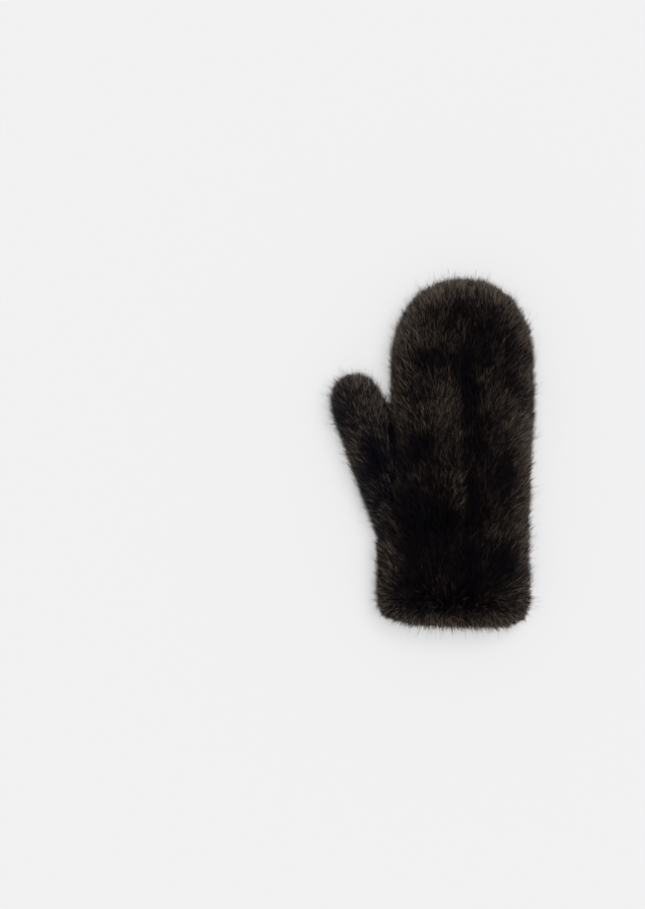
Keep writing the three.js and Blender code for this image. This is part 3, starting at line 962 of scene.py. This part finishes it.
def grow(piece, pelt, tree, values):
    """A piece of strands on a pelt, as a plain mesh."""
    holder = new_object("growing", pelt.data)
    modifier = holder.modifiers.new("strands", "NODES")
    modifier.node_group = tree
    items = tree.interface.items_tree
    sockets = {item.name: item.identifier for item in items if item.in_out == "INPUT"}
    for name, value in values.items():
        modifier[sockets[name]] = value
    mesh = evaluated(holder)
    bpy.data.objects.remove(holder)
    if not mesh.polygons:
        raise RuntimeError(f"{piece} has no strands")
    for attribute in [a.name for a in mesh.attributes if not a.is_required and a.name != "OFBake"]:
        found = mesh.attributes.get(attribute)
        if found and not found.is_internal and attribute not in ("sharp_face", "material_index"):
            mesh.attributes.remove(found)
    mesh.name = piece
    return new_object(piece, mesh)


def clear_old(*names):
    """Removes pieces of an earlier run."""
    for name in names:
        if name in bpy.data.objects:
            bpy.data.objects.remove(bpy.data.objects[name])


def a_length(name, description, size):
    """A property for a length, from its size in millimetres."""
    return bpy.props.FloatProperty(name=name, description=description, default=size * MM, unit="LENGTH")


def a_number(name, description, value):
    """A property for a number."""
    return bpy.props.FloatProperty(name=name, description=description, default=value)


def a_colour(name, description, value):
    """A property for a hex colour."""
    return bpy.props.StringProperty(name=name, description=description, default=value)


class PeltSizes(bpy.types.PropertyGroup):
    """Sizes of the pelts under the pile"""

    depth: a_length("Pile height", "How far the pelt lies under the surface of the pile", 7)
    hem_inset: a_length("Hem inset", "How far the pelt's edge lies inside the hem of the pile", 9.5)
    pressed: a_length("Pressed pile", "Height of the pile that the mitten lies on", 2.5)
    spacing: a_length("Spacing", "Distance between the points of a pelt", 3.2)


class PileSizes(bpy.types.PropertyGroup):
    """How the pile lies and how dense it is"""

    lift: a_number("Lift", "Angle in degrees between a strand and the pelt on the back of the hand", 38)
    hand_fan: a_number("Hand fan", "Degrees that the strands turn outward at the hand's sides", 52)
    thumb_fan: a_number("Thumb fan", "Degrees that the strands turn outward at the thumb's side", 62)
    cuff_fan: a_number("Cuff fan", "Degrees that the strands turn further outward down the cuff", 35)
    hem_fan: a_number("Hem fan", "Degrees that the strands turn outward at the hem's corners", 50)
    tone: a_number("Tone", "Where most strands are between the deepest and the lightest colour", 0.445)
    # Painted rim light: how much lighter the strands are painted round the sides
    painted_rim_light: a_number("Rim tone", "How much lighter the strands are round the sides", 0.56)
    # Painted shade: how much darker the strands are painted in the crease between thumb and hand
    crease_painted_shade: a_number("Crease tone", "How much darker the strands are between thumb and hand", 0.5)
    under_cover: a_number("Cover underneath", "Share of the strands that grow on the underside", 0.25)
    guard_length: a_length("Guard hair length", "Length of the longest strands", 11)
    guard_width: a_length("Guard hair width", "Width of a guard hair, coarser than the real one", 0.33)
    guard_density: a_number("Guard hair density", "Guard hairs on a square millimetre", 4.0)
    wool_length: a_length("Underfur length", "Length of the underfur", 9)
    wool_width: a_length("Underfur width", "Width of a lock of underfur hairs", 0.42)
    wool_density: a_number("Underfur density", "Underfur strands on a square millimetre", 1.7)
    loose_length: a_length("Loose hair length", "Length of the longest loose hairs", 16.5)
    loose_width: a_length("Loose hair width", "Width of a loose hair", 0.18)
    loose_density: a_number("Loose hair density", "Loose hairs on a square millimetre", 0.45)


class FurColours(bpy.types.PropertyGroup):
    """Colours of the mink and of its leather"""

    deepest: a_colour("Deepest", "Strands in the deepest shade", "#040304")
    deep: a_colour("Deep", "Strands in shade", "#130817")
    middle: a_colour("Middle", "Most strands", "#32281f")
    light: a_colour("Light", "Strands that catch the light", "#aa9888")
    thumb_deep: a_colour("Thumb, deep", "The thumb's strands in shade, which are bluer", "#0d0b20")
    thumb_middle: a_colour("Thumb, middle", "Most of the thumb's strands", "#2c282f")
    suede: a_colour("Suede", "The pelt's flesh side", "#5a4334")
    suede_dark: a_colour("Suede in shade", "Darker clouds of the flesh side", "#38281f")


class StageSettings(bpy.types.PropertyGroup):
    """Floor, light and camera"""

    floor_colour: a_colour("Floor", "Colour of the floor", "#d0d0d1")
    sky_strength: a_number("Surrounding light", "Strength of the light from all around", 0.3)
    floor_glow: a_number("Floor glow", "Light that comes through the floor, as on a light table", 0.475)
    lamp_strength: a_number("Lamp", "Strength of the lamp overhead", 1.15)
    view_height: a_length("View height", "Height of the stretch of floor that the camera sees", 723.1)
    view_shift: a_length("View shift", "How far to the thumb's side the view's middle lies", 87.5)
    distance: a_length("Camera height", "Height of the camera over the floor", 3000)


class MITTEN_OT_pelts(bpy.types.Operator):
    """Make the five pelts and hide the solids that they stand for"""

    bl_idname = "mitten.pelts"
    bl_label = "Make the pelts"

    def execute(self, context):
        scene = context.scene
        clear_old(*[f"pelt_{node}" for node in PELTS])
        hand, thumb = skins(scene.mitten_pelt)
        between, space = web(), hollow(scene.mitten_pelt)
        whole = combined(combined(hand, thumb, "UNION"), between, "UNION")
        whole = combined(whole, space, "DIFFERENCE")
        materials = [underwool(scene.mitten_colours), suede(scene.mitten_colours)]
        for node, region in regions().items():
            mesh = combined(whole, region, "INTERSECT")
            mesh.name = f"pelt_{node}"
            mesh.materials.clear()
            for material in materials:
                mesh.materials.append(material)
            dress_pelt(node, mesh, (hand, thumb, between), space, scene.mitten_pile)
            pelt = new_object(f"pelt_{node}", mesh)
            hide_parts(node)
            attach(pelt, "root")
        return {"FINISHED"}


def grow_layer(context, name, density, length, width):
    """Grows one layer of the pile on every pelt, with density strands on a square millimetre."""
    layer = LAYERS[name]
    tree = bpy.data.node_groups.get("strands_on_a_pelt") or strand_tree()
    blank = strand_blank(layer.rows)
    colours = context.scene.mitten_colours
    brown = (colours.deepest, colours.deep, colours.middle, colours.light)
    cool = (colours.deepest, colours.thumb_deep, colours.thumb_middle, colours.light)
    hair = mink_hair(f"mink_{name}", brown, layer.roughness, layer.gloss)
    cool_hair = mink_hair(f"mink_{name}_cool", cool, layer.roughness, layer.gloss)
    for seed, (node, slot) in enumerate(PELTS.items(), FIRST_SEED):
        clear_old(f"{name}_{node}")
        values = {
            **dict(zip(HABITS, layer.habits)),
            "Tuft Density": layer.habits[0] / MM**2,
            "Strand": blank,
            "Material": cool_hair if node == "thumb" else hair,
            "Seed": seed,
            "Lowest": LOWEST,
            "Density": density / MM**2,
            "Length": length,
            "Width": width,
        }
        piece = grow(f"{name}_{node}", bpy.data.objects[f"pelt_{node}"], tree, values)
        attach(piece, "root")
    bpy.data.objects.remove(blank)


class MITTEN_OT_underfur(bpy.types.Operator):
    """Grow the short dense layer of the pile"""

    bl_idname = "mitten.underfur"
    bl_label = "Grow the underfur"

    def execute(self, context):
        pile = context.scene.mitten_pile
        grow_layer(context, "underfur", pile.wool_density, pile.wool_length, pile.wool_width)
        return {"FINISHED"}


class MITTEN_OT_guard_hair(bpy.types.Operator):
    """Grow the long glossy layer of the pile and its loose hairs"""

    bl_idname = "mitten.guard_hair"
    bl_label = "Grow the guard hair"

    def execute(self, context):
        pile = context.scene.mitten_pile
        grow_layer(context, "guard_hair", pile.guard_density, pile.guard_length, pile.guard_width)
        grow_layer(context, "loose_hair", pile.loose_density, pile.loose_length, pile.loose_width)
        return {"FINISHED"}


class MITTEN_OT_stage(bpy.types.Operator):
    """Set the floor, the light and the camera"""

    bl_idname = "mitten.stage"
    bl_label = "Set the stage"

    def execute(self, context):
        scene = context.scene
        settings = scene.mitten_stage
        clear_old("stage_floor", "overhead_lamp", "view_from_above")

        # Seamless white paper, matt, on a light table that makes it glow
        paper, tree = new_material("seamless_paper")
        inputs = {
            "Base Color": linear(settings.floor_colour),
            "Roughness": 1.0,
            "Specular IOR Level": 0.0,
            "Emission Color": linear("#ffffff"),
            "Emission Strength": settings.floor_glow,
        }
        principled(tree, inputs)
        corners = [(FLOOR_HALF * x, FLOOR_HALF * y, 0) for x, y in ((-1, -1), (1, -1), (1, 1), (-1, 1))]
        mesh = bpy.data.meshes.new("stage_floor")
        mesh.from_pydata(corners, [], [(0, 1, 2, 3)])
        mesh.materials.append(paper)
        new_object("stage_floor", mesh)

        # A soft white tent all around
        world = bpy.data.worlds.new("white_tent")
        world.use_nodes = True
        background = world.node_tree.nodes["Background"]
        background.inputs["Color"].default_value = linear("#ffffff")
        background.inputs["Strength"].default_value = settings.sky_strength
        scene.world = world

        # A wide lamp overhead
        lamp = bpy.data.lights.new("overhead_lamp", "SUN")
        lamp.energy = settings.lamp_strength
        lamp.angle = LAMP_SPREAD
        new_object("overhead_lamp", lamp).rotation_euler = LAMP_TURN

        camera = bpy.data.cameras.new("view_from_above")
        camera.sensor_width = SENSOR_WIDTH
        camera.lens = camera.sensor_width * settings.distance / settings.view_height
        camera.clip_end = 3 * settings.distance
        scene.camera = new_object("view_from_above", camera)
        scene.camera.location = (-settings.view_shift, VIEW_RISE, settings.distance)
        scene.view_settings.view_transform = "Standard"
        return {"FINISHED"}


OPERATORS = [MITTEN_OT_pelts, MITTEN_OT_underfur, MITTEN_OT_guard_hair, MITTEN_OT_stage]


class MITTEN_PT_making(bpy.types.Panel):
    """The steps of making the mitten, in order, and its sizes and colours"""

    bl_label = "Fur mitten"
    bl_idname = "MITTEN_PT_making"
    bl_space_type = "VIEW_3D"
    bl_region_type = "UI"
    bl_category = "Mitten"

    def draw(self, context):
        for operator in OPERATORS:
            self.layout.operator(operator.bl_idname)
        for name in GROUPS:
            group = getattr(context.scene, name)
            for key in group.bl_rna.properties.keys():
                if key not in ("rna_type", "name"):
                    self.layout.prop(group, key)


GROUPS = {
    "mitten_pelt": PeltSizes,
    "mitten_pile": PileSizes,
    "mitten_colours": FurColours,
    "mitten_stage": StageSettings,
}


def register():
    """Registers the classes and hangs the sizes on the scene."""
    for name, group in GROUPS.items():
        bpy.utils.register_class(group)
        setattr(bpy.types.Scene, name, bpy.props.PointerProperty(type=group))
    for cls in [*OPERATORS, MITTEN_PT_making]:
        bpy.utils.register_class(cls)


def unregister():
    """Takes back what register did."""
    for cls in [MITTEN_PT_making, *reversed(OPERATORS)]:
        bpy.utils.unregister_class(cls)
    for name, group in GROUPS.items():
        delattr(bpy.types.Scene, name)
        bpy.utils.unregister_class(group)


def main():
    """Makes the mitten and its stage."""
    register()
    bpy.ops.mitten.pelts()
    bpy.ops.mitten.underfur()
    bpy.ops.mitten.guard_hair()
    bpy.ops.mitten.stage()


if __name__ == "__main__":
    main()
